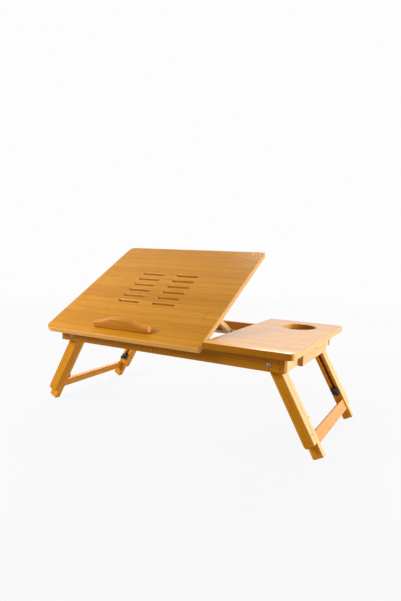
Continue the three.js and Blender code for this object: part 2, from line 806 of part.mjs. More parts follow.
const rod = bar("x", propRodRadius, -endApronInnerX + runGap, dividerLeft - runGap);
rod.translate(0, propReach, -rodBelowAxis);
addMesh(prop, "prop_rod", rod, "darkSteel");

propHingePlaces.forEach((x, index) => {
  const at = index === 0 ? "left" : "right";
  const flapLeaf = addMesh(flap, `prop_hinge_leaf_flap_${at}`, hingeLeaf(true), "steel");
  flapLeaf.position.set(x, propReach, 0);
  const propLeaf = addMesh(prop, `prop_hinge_leaf_${at}`, hingeLeaf(false), "steel");
  propLeaf.position.set(x, 0, 0);
  propLeaf.rotation.y = Math.PI;
  const pin = addMesh(flap, `prop_hinge_pin_${at}`, hingePin(), "steel");
  pin.position.set(x, propReach, 0);
});

// Racks: the rod lies over a notch at each setting, the highest at the front.

function rodAt(tilt) {
  return {
    y: hingeAxisY + 2 * propReach * Math.cos(tilt) - rodBelowAxis * Math.sin(tilt),
    z: hingeAxisZ - rodBelowAxis * Math.cos(tilt),
  };
}

function rackOutline() {
  const raised = rodAt(flapTilt);
  const shut = rodAt(0);
  const crest = (y) => {
    const share = (y - raised.y) / (shut.y - raised.y);
    return THREE.MathUtils.lerp(raised.z, shut.z, share) - propRodRadius - seatGap;
  };
  const notchPitch = (shut.y - raised.y) / notchCount;
  const notchHalf = propRodRadius + seatGap;
  const low = apronTop - apronHeight * rackHeightShare - rackThickness / 2;
  const outline = new THREE.Shape();
  const front = raised.y - rackEndLength;
  const rear = shut.y + rackEndLength / 2;
  outline.moveTo(front, low);
  outline.lineTo(front, crest(front));
  for (let notch = 0; notch < notchCount; notch += 1) {
    const y = raised.y + notch * notchPitch;
    outline.lineTo(y - notchHalf, crest(y - notchHalf));
    outline.quadraticCurveTo(y, crest(y) - 2 * notchDepth, y + notchHalf, crest(y + notchHalf));
  }
  outline.lineTo(rear, crest(rear));
  outline.lineTo(rear, low);
  outline.closePath();
  return outline;
}

function rack(name, from) {
  addMesh(frame, name, piece("side", rackOutline(), from, from + rackThickness), "inner");
}
rack("rack_left", -endApronInnerX + seatGap);
rack("rack_right", dividerLeft - seatGap - rackThickness);

// The origin is the middle of the table's outline on the floor.
table.updateMatrixWorld(true);
const bounds = new THREE.Box3().setFromObject(table, true);
table.position.x = -(bounds.min.x + bounds.max.x) / 2;
table.position.y = -(bounds.min.y + bounds.max.y) / 2;
table.updateMatrixWorld(true);

export default table;
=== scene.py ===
"""A laminated bamboo bed table: tilted flap with a stop ledge, side panel with a cup hole,
side drawer, splayed sliding legs with black wing knobs, and plated hinges and bolts."""

from functools import partial
from math import comb

import bpy
import numpy as np
from mathutils import Matrix, Vector


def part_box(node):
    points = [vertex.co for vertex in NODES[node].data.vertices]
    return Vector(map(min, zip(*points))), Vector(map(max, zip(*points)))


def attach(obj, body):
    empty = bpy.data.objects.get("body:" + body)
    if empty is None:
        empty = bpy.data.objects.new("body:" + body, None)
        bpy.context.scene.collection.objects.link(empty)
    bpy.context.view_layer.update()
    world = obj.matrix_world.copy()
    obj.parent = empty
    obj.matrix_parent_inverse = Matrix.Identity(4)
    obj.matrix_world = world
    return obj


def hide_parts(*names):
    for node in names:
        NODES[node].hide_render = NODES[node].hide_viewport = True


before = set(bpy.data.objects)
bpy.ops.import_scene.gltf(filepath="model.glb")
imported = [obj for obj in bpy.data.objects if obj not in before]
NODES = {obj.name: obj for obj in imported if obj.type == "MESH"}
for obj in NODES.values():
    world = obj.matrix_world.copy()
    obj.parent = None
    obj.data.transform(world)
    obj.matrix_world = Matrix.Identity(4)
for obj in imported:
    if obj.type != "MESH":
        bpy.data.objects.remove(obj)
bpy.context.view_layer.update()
MM = 0.001
SIDES = {"left": -1, "right": 1}
ENDS = {"front": -1, "rear": 1}
CORNERS = [(side, end) for side in SIDES for end in ENDS]

# How far the flap is raised, the legs are splayed and the knobs' wings are turned
TILT = np.radians(29.4)
SPLAY = np.radians(28.9)
KNOB_TURN = np.radians(60.0)

# Metres, in the table's frame. Its outline is centred, which moves each piece by SHIFT_Y.
SHIFT_Y = 0.001562
FLAP_PIN = np.array([0.0, -0.1539 + SHIFT_Y, 0.1766])
CUP_CENTRE = np.array([0.196, 0.099 + SHIFT_Y])
CUP_RADIUS = 37.7 * MM

# Millimetres, before SHIFT_Y is added
PIVOT = np.array([223.8, 0.0, 161.1])  # of the right legs
KNOB_DOWN = 117.84  # from the pivot, down the leg
KNOB_SEAT_Y = 109.6  # where a knob bears on its lower leg
APRON_FACE_Y = 151.0  # the outer face of a long apron
NAIL_PLACES = ((-246.0, 164.5), (243.8, 156.1))  # in X and Z, on each long apron

# Millimetres from the flap's pin, with the flap closed
LEDGE_BASE = np.array([-84.5, 3.9, 13.7])  # the middle of the foot of the ledge
FLAP_HINGE_X = (-186.5, 13.5)
PROP_HINGE_X = (-189.0, 16.0)
PROP_REACH = 122.0  # from the flap's pin to the prop's


# Places on the table


def about_x(points, angle):
    """Points turned about X by an angle."""
    c, s = np.cos(angle), np.sin(angle)
    return points @ np.array([[1, 0, 0], [0, c, s], [0, -s, c]])


def about_y(points, angle):
    """Points turned about Y by an angle."""
    c, s = np.cos(angle), np.sin(angle)
    return points @ np.array([[c, 0, -s], [0, 1, 0], [s, 0, c]])


def level(points):
    """Millimetres from the flap's hinge pin, with the flap closed, as metres in the table."""
    return points * MM + FLAP_PIN


def on_flap(points):
    """Millimetres from the flap's hinge pin, along the raised flap, as metres in the table."""
    return about_x(points, TILT) * MM + FLAP_PIN


def on_prop(points):
    """Millimetres from the prop's hinge pin, along the prop, as metres in the table."""
    return on_flap(about_x(points, -2 * TILT) + [0, PROP_REACH, 0])


def on_leg(points, side):
    """Millimetres from a leg's pivot, along the splayed leg, as metres in the table."""
    return (about_y(points, -side * SPLAY) + PIVOT * [side, 1, 1]) * MM + [0, SHIFT_Y, 0]


def on_apron(points, at, end):
    """Millimetres outwards from a place on a long apron's face, as metres in the table."""
    return (points[..., [0, 2, 1]] * [1, end, 1] + at) * MM + [0, SHIFT_Y, 0]


# Tools for materials


def linear(hex_colour):
    """An sRGB hex colour as linear light, by the sRGB curve."""
    value = np.array([int(hex_colour[i : i + 2], 16) for i in (1, 3, 5)]) / 255
    light = np.where(value <= 0.04045, value / 12.92, ((value + 0.055) / 1.055) ** 2.4)
    return (*light.tolist(), 1.0)


def fill(tree, node, inputs):
    """Links each input that is given another node's output, and sets each that is given a plain
    number or colour on the node's own socket."""
    for socket, value in inputs.items():
        if isinstance(value, bpy.types.NodeSocket):
            tree.links.new(value, node.inputs[socket])
        else:
            node.inputs[socket].default_value = value


def add_node(tree, kind, inputs=None, **settings):
    """Adds a shader node with its settings, and fills its inputs."""
    node = tree.nodes.new(f"ShaderNode{kind}")
    for name, value in settings.items():
        setattr(node, name, value)
    fill(tree, node, inputs or {})
    return node


def new_material(name):
    """A material with its node tree and its shader."""
    material = bpy.data.materials.new(name)
    material.use_nodes = True
    tree = material.node_tree
    return material, tree, tree.nodes["Principled BSDF"]


def grained(name, low, high, grains, detail):
    """A material whose colour runs between two tones by a noise of so many grains to the metre,
    with its node tree, its shader and the noise."""
    material, tree, shader = new_material(name)
    place = add_node(tree, "TexCoord")
    noise_inputs = {"Vector": place.outputs["Object"], "Scale": grains, "Detail": detail}
    noise = add_node(tree, "TexNoise", noise_inputs)
    tones = {0: noise.outputs[0], 6: linear(low), 7: linear(high)}
    tint = add_node(tree, "Mix", tones, data_type="RGBA")
    fill(tree, shader, {"Base Color": tint.outputs[2]})
    return material, tree, shader, noise.outputs[0]


# Finishes

# Which axis of the piece runs along a strip, across it and through the board
STRIP_AXES = {"x": "XYZ", "y": "YXZ", "z": "ZXY", "x_side": "XZY", "y_side": "YZX"}
FIBRE_STAIN, NODE_STAIN, GLUE_STAIN = "#B5702A", "#8A4A12", "#9A5A1C"
# The fibre and node stains on the faces with painted light
PAINTED_LIGHT_FIBRE_STAIN, PAINTED_LIGHT_NODE_STAIN = "#D9A468", "#C4783A"
GLUE_LINE = 0.8 * MM


def lacquered_bamboo(
    name, light, dark, along, turn=(0, 0, 0), start=(0, 0, 0), strip=21 * MM, thick=6 * MM, nodes=0.24,
    gloss=0.3, end_colour="#C08A3C", painted_light_axis="X", painted_light_side=0, painted_light_from=-1.0, painted_light_colour="#F6DDA6",
):
    """Laminated bamboo strips under clear lacquer. Strips lie side by side, each with its own tone
    and its own fibre streaks along it, with thin dark glue lines between them. Every 24 cm or so
    a strip is crossed by a node of the cane: a paler band with a thin brown line. The ends of the
    strips have a tone of their own, with the fibres as dots. The last four arguments give an axis,
    a side along it and a distance past which faces turned to that side take a colour of their own,
    with no glue lines: painted light where that colour is paler than the strips, painted shade
    where it is darker. along names the axis of the strips. turn and start put the pattern square
    to a turned piece."""
    material, tree, shader = new_material(name)
    add = partial(add_node, tree)
    place = add("TexCoord")
    to_strips = {"Vector": place.outputs["Object"], "Location": start, "Rotation": turn}
    axes = add("SeparateXYZ", {0: add("Mapping", to_strips, vector_type="TEXTURE").outputs[0]})
    length, across, deep = (axes.outputs[axis] for axis in STRIP_AXES[along])

    # Which strip a point is on, and a random number that belongs to it
    row = add("Math", {0: across, 1: strip}, operation="DIVIDE").outputs[0]
    layer = add("Math", {0: deep, 1: thick}, operation="DIVIDE").outputs[0]
    row_index = add("Math", {0: row}, operation="FLOOR").outputs[0]
    layer_index = add("Math", {0: layer}, operation="FLOOR").outputs[0]
    which = add("CombineXYZ", {"X": row_index, "Y": layer_index}).outputs[0]
    chance = add("TexWhiteNoise", {"Vector": which}, noise_dimensions="3D").outputs["Value"]

    # Fibre streaks, about 0.4 mm wide in the cane, drawn 1 to 2 mm wide so that they show. They
    # are about 30 times as long as wide, and each strip has its own stretch of them.
    shifted = add("Math", {0: chance, 1: 3.0, 2: length}, operation="MULTIPLY_ADD").outputs[0]
    drawn_out = add("Math", {0: shifted, 1: 0.035}, operation="MULTIPLY").outputs[0]
    streaks = add("CombineXYZ", {"X": drawn_out, "Y": across, "Z": deep}).outputs[0]
    fine, broad = (
        add("TexNoise", {"Vector": streaks, "Scale": scale, "Detail": detail, "Roughness": rough}).outputs[0]
        for scale, detail, rough in ((620.0, 3.0, 0.62), (130.0, 2.0, 0.5))
    )

    # Nodes of the cane: how far a point lies from one, as a share of their spacing. The streaks
    # push a node's line a millimetre or two either way, so that it wavers across the strip.
    wavering = add("Math", {0: broad, 1: 0.005, 2: shifted}, operation="MULTIPLY_ADD").outputs[0]
    spacings = add("Math", {0: wavering, 1: nodes}, operation="DIVIDE").outputs[0]
    phase = add("Math", {0: spacings}, operation="FRACT").outputs[0]
    centred = add("Math", {0: phase, 1: 0.5}, operation="SUBTRACT").outputs[0]
    from_node = add("Math", {0: centred}, operation="ABSOLUTE").outputs[0]

    # Glue lines, about 0.3 mm wide, drawn 0.8 mm wide: how far a point lies from one
    in_row = add("Math", {0: row}, operation="FRACT").outputs[0]
    from_edge = add("Math", {0: in_row, 1: 0.5}, operation="PINGPONG").outputs[0]

    # How strongly the pale band, the node's line and the glue line stain a point, fading from the
    # middle of each, and how deep the glue line is sunk. The nodes' widths are shares of spacing.
    band, line, glue = (
        add(
            "MapRange", {"Value": distance, "From Min": near, "From Max": far, "To Min": 1.0, "To Max": 0.0},
            interpolation_type="SMOOTHSTEP",
        ).outputs[0]
        for distance, near, far in (
            (from_node, 0.005, 0.03), (from_node, 0.001, 0.0085), (from_edge, 0.0, GLUE_LINE / strip),
        )
    )
    band_share, line_share, glue_share, glue_depth = (
        add("Math", {0: faded, 1: most}, operation="MULTIPLY").outputs[0]
        for faded, most in ((band, 0.3), (line, 0.4), (glue, 0.45), (glue, 0.35))
    )
    fibre_range = {"Value": fine, "From Min": 0.35, "From Max": 0.75, "To Max": 0.34}
    fibre_share = add("MapRange", fibre_range).outputs[0]

    # The strip's own tone, with the stains laid over it one after the other
    tone = add("Math", {0: chance, 1: 0.55, 2: broad}, operation="MULTIPLY_ADD").outputs[0]
    tone_share = add("MapRange", {"Value": tone, "From Min": 0.25, "From Max": 1.25}).outputs[0]
    tones = {0: tone_share, 6: linear(dark), 7: linear(light)}
    colour = add("Mix", tones, data_type="RGBA").outputs[2]
    for share, stain, blend in (
        (fibre_share, FIBRE_STAIN, "MULTIPLY"),
        (band_share, light, "MIX"),
        (line_share, NODE_STAIN, "MULTIPLY"),
        (glue_share, GLUE_STAIN, "MULTIPLY"),
    ):
        inputs = {0: share, 6: colour, 7: linear(stain)}
        colour = add("Mix", inputs, data_type="RGBA", blend_type=blend).outputs[2]

    # The faces with a tone of their own: the strips' ends, and the faces with painted light (painted shade
    # where its colour is darker)
    to_normal = {"Vector": place.outputs["Normal"], "Rotation": turn}
    facing = add("SeparateXYZ", {0: add("Mapping", to_normal, vector_type="TEXTURE").outputs[0]})
    end_on = add("Math", {0: facing.outputs[STRIP_AXES[along][0]]}, operation="ABSOLUTE").outputs[0]
    end_share = add("MapRange", {"Value": end_on, "From Min": 0.55, "From Max": 0.8}).outputs[0]
    faces = [(end_share, end_colour, [(fibre_share, FIBRE_STAIN)])]
    # Painted light: faces turned to the given side, past the given distance, take a colour that stands in for
    # how the lamps fall on them
    if painted_light_side:
        outward = add("Math", {0: facing.outputs[painted_light_axis], 1: painted_light_side}, operation="MULTIPLY").outputs[0]
        outward_share = add("MapRange", {"Value": outward, "From Min": 0.45, "From Max": 0.8}).outputs[0]
        far = add("Math", {0: axes.outputs[painted_light_axis], 1: painted_light_side}, operation="MULTIPLY").outputs[0]
        past = add("Math", {0: far, 1: painted_light_from}, operation="GREATER_THAN").outputs[0]
        painted_light_share = add("Math", {0: outward_share, 1: past}, operation="MULTIPLY").outputs[0]
        stains = [(fibre_share, PAINTED_LIGHT_FIBRE_STAIN), (line_share, PAINTED_LIGHT_NODE_STAIN)]
        faces.append((painted_light_share, painted_light_colour, stains))
    for face_share, face_colour, stains in faces:
        face = linear(face_colour)
        for share, stain in stains:
            inputs = {0: share, 6: face, 7: linear(stain)}
            face = add("Mix", inputs, data_type="RGBA", blend_type="MULTIPLY").outputs[2]
        colour = add("Mix", {0: face_share, 6: colour, 7: face}, data_type="RGBA").outputs[2]

    # Roughness and relief follow the fibres a little, and the lacquer lies over them smooth
    rough_range = {"Value": fine, "From Min": 0.3, "From Max": 0.8, "To Min": gloss, "To Max": gloss + 0.14}
    rough = add("MapRange", rough_range).outputs[0]
    relief = add("Math", {0: fine, 1: glue_depth}, operation="SUBTRACT").outputs[0]
    bump = add("Bump", {"Height": relief, "Strength": 0.12, "Distance": 0.2 * MM}).outputs[0]
    fill(tree, shader, {
        "Base Color": colour, "Roughness": rough, "Normal": bump, "Specular IOR Level": 0.05,
        "Coat Weight": 0.85, "Coat IOR": 1.16, "Coat Roughness": 0.16,
    })
    return material


def plated_steel(name, colour, roughness=0.32):
    """Zinc-plated pressed steel: a dull metal sheen with fine mottling from the plating, drawn
    1.1 mm wide. Brass turned to size has the same sheen."""
    material, tree, shader, mottle = grained(name, colour, "#8F8C86", 900.0, 3.0)
    rough_range = {"Value": mottle, "To Min": roughness - 0.08, "To Max": roughness + 0.12}
    bump = add_node(tree, "Bump", {"Height": mottle, "Strength": 0.08, "Distance": 0.05 * MM})
    rough = add_node(tree, "MapRange", rough_range)
    fill(tree, shader, {"Roughness": rough.outputs[0], "Normal": bump.outputs[0], "Metallic": 1.0})
    return material


def moulded_nylon(name):
    """Black injection-moulded nylon: a satin skin with a fine spark-eroded grain, drawn 0.6 mm
    wide."""
    material, tree, shader, grain = grained(name, "#0C0C0E", "#1B1B1E", 1800.0, 2.0)
    bump = add_node(tree, "Bump", {"Height": grain, "Strength": 0.15, "Distance": 0.05 * MM})
    rough = add_node(tree, "MapRange", {"Value": grain, "To Min": 0.26, "To Max": 0.42})
    fill(tree, shader, {"Roughness": rough.outputs[0], "Normal": bump.outputs[0], "IOR": 1.53})
    return material


def wood_filler(name):
    """Dark wood filler under lacquer: a brown paste of wood dust, mottled by its grains, drawn
    0.7 mm wide."""
    material, tree, shader, _ = grained(name, "#4A1E04", "#7A3A0C", 1500.0, 2.0)
    fill(tree, shader, {"Roughness": 0.4})
    return material


# The light and the dark tone of the strips of each kind of board
PANEL_TONES = ("#E4A636", "#CB8A16")
FLAP_TONES = ("#DC9C2A", "#C2800E")
LEDGE_TONES = ("#E09A36", "#C47C1C")
APRON_TONES = ("#CE8C12", "#B67204")
REAR_APRON_TONES = ("#DE9C20", "#C4800A")
# The drawer front's pale cream tones are a painted highlight on a face turned to the window lamp
DRAWER_FRONT_HIGHLIGHT_TONES = ("#F8E0AA", "#ECC888")
INNER_TONES = ("#CC9238", "#B07A24")
# The lower legs and the stretchers have lighter tones than the upper legs: painted light on the lower part of
# the table
LEG_TONES = {"upper": ("#EAA428", "#D2880E"), "lower": ("#F8B03C", "#E89A20")}

# An apron is glued from two strips, with the glue line at half its height. A stretcher, or the
# ledge, is cut from one strip, so it lies inside a strip of the pattern that is wider than it.
APRON_STRIPS = {"strip": 19 * MM, "start": (0, 0, 0.164)}
ONE_STRIP = {"strip": 50 * MM, "thick": 50 * MM}

# Panel and flap have pale ends: partly the end grain's own tone, partly a painted highlight.
# The panel's front edge is painted darker, as painted shade, and the flap's front edge is painted
# lighter, as painted light.
bamboo_panel = lacquered_bamboo(
    "bamboo_panel", *PANEL_TONES, "x", start=(0.0, 0.004, 0.182), gloss=0.26, end_colour="#F2D090",
    painted_light_axis="Y", painted_light_side=-1, painted_light_from=0.16, painted_light_colour="#B4720E",
)
bamboo_flap = lacquered_bamboo(
    "bamboo_flap", *FLAP_TONES, "x", turn=(TILT, 0, 0), start=tuple(FLAP_PIN), gloss=0.26,
    end_colour="#F0CC8C", painted_light_axis="Y", painted_light_side=-1, painted_light_from=0.012, painted_light_colour="#F0B25A",
)
bamboo_ledge = lacquered_bamboo(
    "bamboo_ledge", *LEDGE_TONES, "x_side", turn=(TILT, 0, 0), start=tuple(on_flap(LEDGE_BASE - [0, 25, 10])),
    nodes=0.31, end_colour="#E8B066", **ONE_STRIP,
)
bamboo_apron = lacquered_bamboo("bamboo_apron", *APRON_TONES, "x_side", **APRON_STRIPS)
bamboo_rear_apron = lacquered_bamboo("bamboo_rear_apron", *REAR_APRON_TONES, "x_side", **APRON_STRIPS)
# Faces of the end aprons turned to +X are painted pale cream: painted light from the window lamp at the right
bamboo_end = lacquered_bamboo("bamboo_end", *APRON_TONES, "y_side", painted_light_side=1, **APRON_STRIPS)
bamboo_drawer_front = lacquered_bamboo(
    "bamboo_drawer_front", *DRAWER_FRONT_HIGHLIGHT_TONES, "y_side", strip=24.5 * MM, start=(0, 0, 0.1645),
)
bamboo_inner = lacquered_bamboo("bamboo_inner", *INNER_TONES, "y", strip=20 * MM, gloss=0.45)
bamboo_inner_x = lacquered_bamboo("bamboo_inner_x", *INNER_TONES, "x", strip=20 * MM, gloss=0.45)
bamboo_prop = lacquered_bamboo("bamboo_prop", *APRON_TONES, "x", turn=(-TILT, 0, 0), strip=7 * MM)
# The prop arm's faces turned to +X are painted pale cream: painted light from the window lamp at the right
bamboo_prop_arm = lacquered_bamboo(
    "bamboo_prop_arm", *APRON_TONES, "y", turn=(-TILT, 0, 0), strip=5 * MM, painted_light_side=1,
)


def stretcher_start(name, node_y):
    """A point beside a stretcher from which one strip of the pattern holds it all. node_y puts
    the strip's node at a place along it, from its middle."""
    low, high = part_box(f"stretcher_{name}")
    half_strip = ONE_STRIP["strip"] / 2
    beside = about_y(np.array([-half_strip, node_y, -half_strip]), -SIDES[name] * SPLAY)
    return tuple((np.array(low) + np.array(high)) / 2 + beside)


# Each stretcher's outer face is painted a paler tone: painted light
bamboo_stretcher = {
    name: lacquered_bamboo(
        f"bamboo_stretcher_{name}", *LEG_TONES["lower"], "y_side", turn=(0, -side * SPLAY, 0),
        start=stretcher_start(name, node_y), painted_light_side=side, painted_light_colour="#F3B274", **ONE_STRIP,
    )
    for (name, side), node_y in zip(SIDES.items(), (0.03, 0.0))
}
# A leg is about three strips wide and one layer thick. The layers meet between upper and lower leg.
# A leg's outer face, past 7.5 mm from its middle, is painted pale cream: painted light. The slot's walls keep
# the strips' tones.
bamboo_leg = {
    f"{part}_leg_{name}": lacquered_bamboo(
        f"bamboo_{part}_leg_{name}", *tones, "z", turn=(0, -side * SPLAY, 0),
        start=(side * 0.2255, 0.12345 + SHIFT_Y, 0.1611), strip=6.8 * MM, thick=14.5 * MM,
        painted_light_side=side, painted_light_from=0.0075,
    )
    for part, tones in LEG_TONES.items()
    for name, side in SIDES.items()
}
zinc = plated_steel("zinc_plated_steel", "#B9B6AE")
black_zinc = plated_steel("black_zinc_steel", "#2C2926", 0.3)
cut_brass = plated_steel("turned_brass", "#B48A42", 0.35)
black_nylon = moulded_nylon("black_nylon")
brown_filler = wood_filler("brown_wood_filler")

# The finish of each CAD node, by the first words of its name. Of two that fit, the upper counts.
FINISH_OF = {
    "front_apron": bamboo_apron, "rear_apron": bamboo_rear_apron, "left_apron": bamboo_end,
    "right_apron": bamboo_end, "side_panel": bamboo_panel, "cup_rest": bamboo_inner_x,
    "divider": bamboo_inner, "rack": bamboo_inner, "ledge": bamboo_ledge,
    "drawer_front": bamboo_drawer_front, "drawer_back": bamboo_inner, "drawer_bottom": bamboo_inner_x,
    "drawer_side": bamboo_inner_x, "drawer_runner": bamboo_inner_x,
    "prop_top_bar": bamboo_prop, "prop_foot_bar": bamboo_prop, "prop_arm": bamboo_prop_arm,
    "prop_rod": black_zinc, "prop_hinge": zinc, "flap_hinge": zinc, "apron_hinge": zinc, "flap": bamboo_flap,
    "pivot_bolt": black_zinc, "insert_nut": cut_brass, "wing_knob": black_nylon,
    "stretcher_left": bamboo_stretcher["left"], "stretcher_right": bamboo_stretcher["right"], **bamboo_leg,
}
for name, node in NODES.items():
    finish = next(value for words, value in FINISH_OF.items() if name.startswith(words))
    for slot in node.material_slots:
        slot.material = finish


# Camera, light and floor


def aim_camera():
    """A camera at the photograph's angle, aimed at a target from a bearing and a distance. Its
    focal length is given in pixels of the picture, whose longer side is as long as the sensor."""
    azimuth, elevation, roll = np.radians([28.7189, 6.6072, 1.6123])
    target = np.array([0.005411, SHIFT_Y, 0.240598])
    distance, focal_pixels, picture_height, sensor = 1.046673, 481.89, 601, 36
    side, front = np.sin(azimuth), -np.cos(azimuth)
    back = np.array([side * np.cos(elevation), front * np.cos(elevation), np.sin(elevation)])
    right = np.array([np.cos(azimuth), np.sin(azimuth), 0])
    up = np.cross(back, right)
    matrix = np.eye(4)
    matrix[:3, 0] = np.cos(roll) * right + np.sin(roll) * up
    matrix[:3, 1] = np.cos(roll) * up - np.sin(roll) * right
    matrix[:3, 2] = back
    matrix[:3, 3] = target + distance * back
    data = bpy.data.cameras.new("camera")
    data.sensor_width = sensor
    data.lens = sensor * focal_pixels / picture_height
    camera = bpy.data.objects.new("camera", data)
    camera.matrix_world = Matrix(matrix.tolist())
    bpy.context.scene.collection.objects.link(camera)
    bpy.context.scene.camera = camera


def lamp(name, place, aim, watts, size, colour="#FFFFFF", in_gloss=True):
    """A square lamp at a place, turned to an aim. Left out of the gloss, it shows in no reflection."""
    data = bpy.data.lights.new(name, "AREA")
    data.energy = watts
    data.size = size
    data.color = linear(colour)[:3]
    made = bpy.data.objects.new(name, data)
    made.location = place
    made.visible_glossy = in_gloss
    made.rotation_euler = (Vector(aim) - Vector(place)).to_track_quat("-Z", "Y").to_euler()
    bpy.context.scene.collection.objects.link(made)


def light_world():
    """A soft warm light from all round. The camera, and rays off gloss or through clear things,
    see a plain near-white instead."""
    world = bpy.data.worlds.new("studio")
    bpy.context.scene.world = world
    world.use_nodes = True
    tree = world.node_tree
    tree.nodes.clear()
    add = partial(add_node, tree)
    path = add("LightPath")
    seen = path.outputs["Is Camera Ray"]
    for ray in ("Is Glossy Ray", "Is Transmission Ray"):
        seen = add("Math", {0: seen, 1: path.outputs[ray]}, operation="MAXIMUM").outputs[0]
    lights = add("Background", {"Color": linear("#FFF6EA"), "Strength": 0.22})
    shown = add("Background", {"Color": linear("#FDFDFE")})
    mix = add("MixShader", {0: seen, 1: lights.outputs[0], 2: shown.outputs[0]})
    add("OutputWorld", {"Surface": mix.outputs[0]})


def floor_paper():
    """Matt pale paper. It takes the object's shadow, and to the camera it glows in the background's
    own tone, a little more with distance, so that its edge doesn't show."""
    material, tree, shader = new_material("floor_paper")
    add = partial(add_node, tree)
    place = add("TexCoord")
    away = add("VectorMath", {0: place.outputs["Object"]}, operation="LENGTH")
    glow_range = {"From Min": 0.6, "From Max": 2.5, "To Min": 0.92, "To Max": 1.0}
    glowing = add("MapRange", {"Value": away.outputs["Value"]} | glow_range)
    camera_ray = add("LightPath").outputs["Is Camera Ray"]
    share = add("Math", {0: camera_ray, 1: glowing.outputs[0]}, operation="MULTIPLY")
    glow = add("Emission", {"Color": linear("#FDFDFE")})
    fill(tree, shader, {"Base Color": linear("#B8B8BA"), "Roughness": 0.9})
    mix = add("MixShader", {0: share.outputs[0], 1: shader.outputs[0], 2: glow.outputs[0]})
    fill(tree, tree.nodes["Material Output"], {"Surface": mix.outputs[0]})
    return material


def studio():
    """A pale floor that runs on to the horizon, and three lamps: one like a window at the right,
    one above and behind, and a smaller one at the front left."""
    scene = bpy.context.scene
    scene.view_settings.view_transform = "Standard"
    light_world()
    warm = "#FFF4E2"
    lamp("window", (1.7, 0.1, 0.6), (0.1, 0.0, 0.15), watts=25, size=0.9, colour=warm, in_gloss=False)
    lamp("behind", (-0.2, 1.3, 1.25), (0.15, 0.0, 0.15), watts=26, size=0.9)
    lamp("front_left", (-0.9, -0.8, 0.7), (-0.05, 0.0, 0.15), watts=14.5, size=0.5)

    half, below_feet = 30.0, 0.4 * MM
    corners = [(-half, -half, 0), (half, -half, 0), (half, half, 0), (-half, half, 0)]
    mesh = bpy.data.meshes.new("floor")
    mesh.from_pydata(corners, [], [(0, 1, 2, 3)])
    mesh.materials.append(floor_paper())
    floor = bpy.data.objects.new("floor", mesh)
    scene.collection.objects.link(floor)
    floor.location.z = -below_feet


aim_camera()
studio()


# Tools for shapes, which are grids of points until surface makes a mesh of each


def face_out(piece):
    """Turns the faces of a closed mesh round if they face inwards, which makes its signed volume
    negative."""
    mesh = piece.data
    mesh.calc_loop_triangles()
    corners = np.empty(len(mesh.loop_triangles) * 3, np.int32)
    mesh.loop_triangles.foreach_get("vertices", corners)
    place = np.empty(len(mesh.vertices) * 3)
    mesh.vertices.foreach_get("co", place)
    a, b, c = place.reshape(-1, 3)[corners.reshape(-1, 3)].transpose(1, 0, 2)
    if np.einsum("ij,ij->", a, np.cross(b, c)) < 0:
        mesh.flip_normals()
    return piece


def surface(name, points, ring=False):
    """A closed mesh from a grid of points [u, v, xyz], with one quad to a cell. It joins up along
    u. Along v it joins up in a ring too, or else its first and last rows are each closed onto
    their middle by a fan of triangles."""
    rings, steps = points.shape[:2]
    index = np.arange(rings * steps).reshape(rings, steps)
    u0 = np.arange(rings)
    v0 = np.arange(steps if ring else steps - 1)
    u1, v1 = (u0 + 1) % rings, (v0 + 1) % steps
    corners = [index[np.ix_(u0, v0)], index[np.ix_(u1, v0)], index[np.ix_(u1, v1)], index[np.ix_(u0, v1)]]
    vertices = points.reshape(-1, 3)
    faces = np.stack(corners, axis=-1).reshape(-1, 4).tolist()
    if not ring:
        vertices = np.vstack([vertices, points[:, 0].mean(0), points[:, -1].mean(0)])
        low, high = np.full((2, rings), [[len(vertices) - 2], [len(vertices) - 1]])
        faces += np.stack([index[u1, 0], index[u0, 0], low], 1).tolist()
        faces += np.stack([index[u0, -1], index[u1, -1], high], 1).tolist()
    mesh = bpy.data.meshes.new(name)
    mesh.from_pydata(vertices.tolist(), [], faces)
    mesh.validate()
    mesh.shade_smooth()
    made = bpy.data.objects.new(name, mesh)
    bpy.context.scene.collection.objects.link(made)
    return face_out(made)


def many(name, shape, places):
    """One mesh of the same closed grid repeated at many places, each given as a function."""
    parts = [surface(f"{name}_{index}", place(shape)) for index, place in enumerate(places)]
    with bpy.context.temp_override(active_object=parts[0], selected_editable_objects=parts):
        bpy.ops.object.join()
    parts[0].name = parts[0].data.name = name
    return parts[0]


def dress(piece, body, materials, replaced=()):
    """Gives a new piece its finish, the body that it moves with and the nodes it stands for."""
    for material in materials:
        piece.data.materials.append(material)
    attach(piece, body)
    if replaced:
        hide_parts(*replaced)


def bearings(count):
    """Even bearings once round an axis, as a column."""
    return np.linspace(0, 2 * np.pi, count, endpoint=False)[:, None]


def swept(radius, bearing, height):
    """Points round Z: at a bearing t, with its own radius r and height h if they vary with the
    bearing, a point is (r cos t, r sin t, h)."""
    x, y = radius * np.cos(bearing), radius * np.sin(bearing)
    return np.stack([x, y, np.broadcast_to(height, x.shape)], -1)


def rolled(edge, inward, first, last, ease, steps=5):
    """Rows of points across an edge, from its first height to its last, that is rolled over at
    both by a quarter circle: the row at an angle t lies ease * (1 - cos t) inwards of the edge,
    and ease * (1 - sin t) short of the end."""
    turn = np.linspace(np.pi / 2, 0, steps)
    inset = ease * np.concatenate([1 - np.cos(turn), 1 - np.cos(turn[::-1])])
    short = np.sign(last - first) * ease * (1 - np.sin(turn))
    height = np.concatenate([first + short, last - short[::-1]])
    flat = edge[:, None] + inward[:, None] * inset[None, :, None]
    return np.concatenate([flat, np.broadcast_to(height[None, :, None], (*flat.shape[:2], 1))], -1)


# Shapes of the pieces


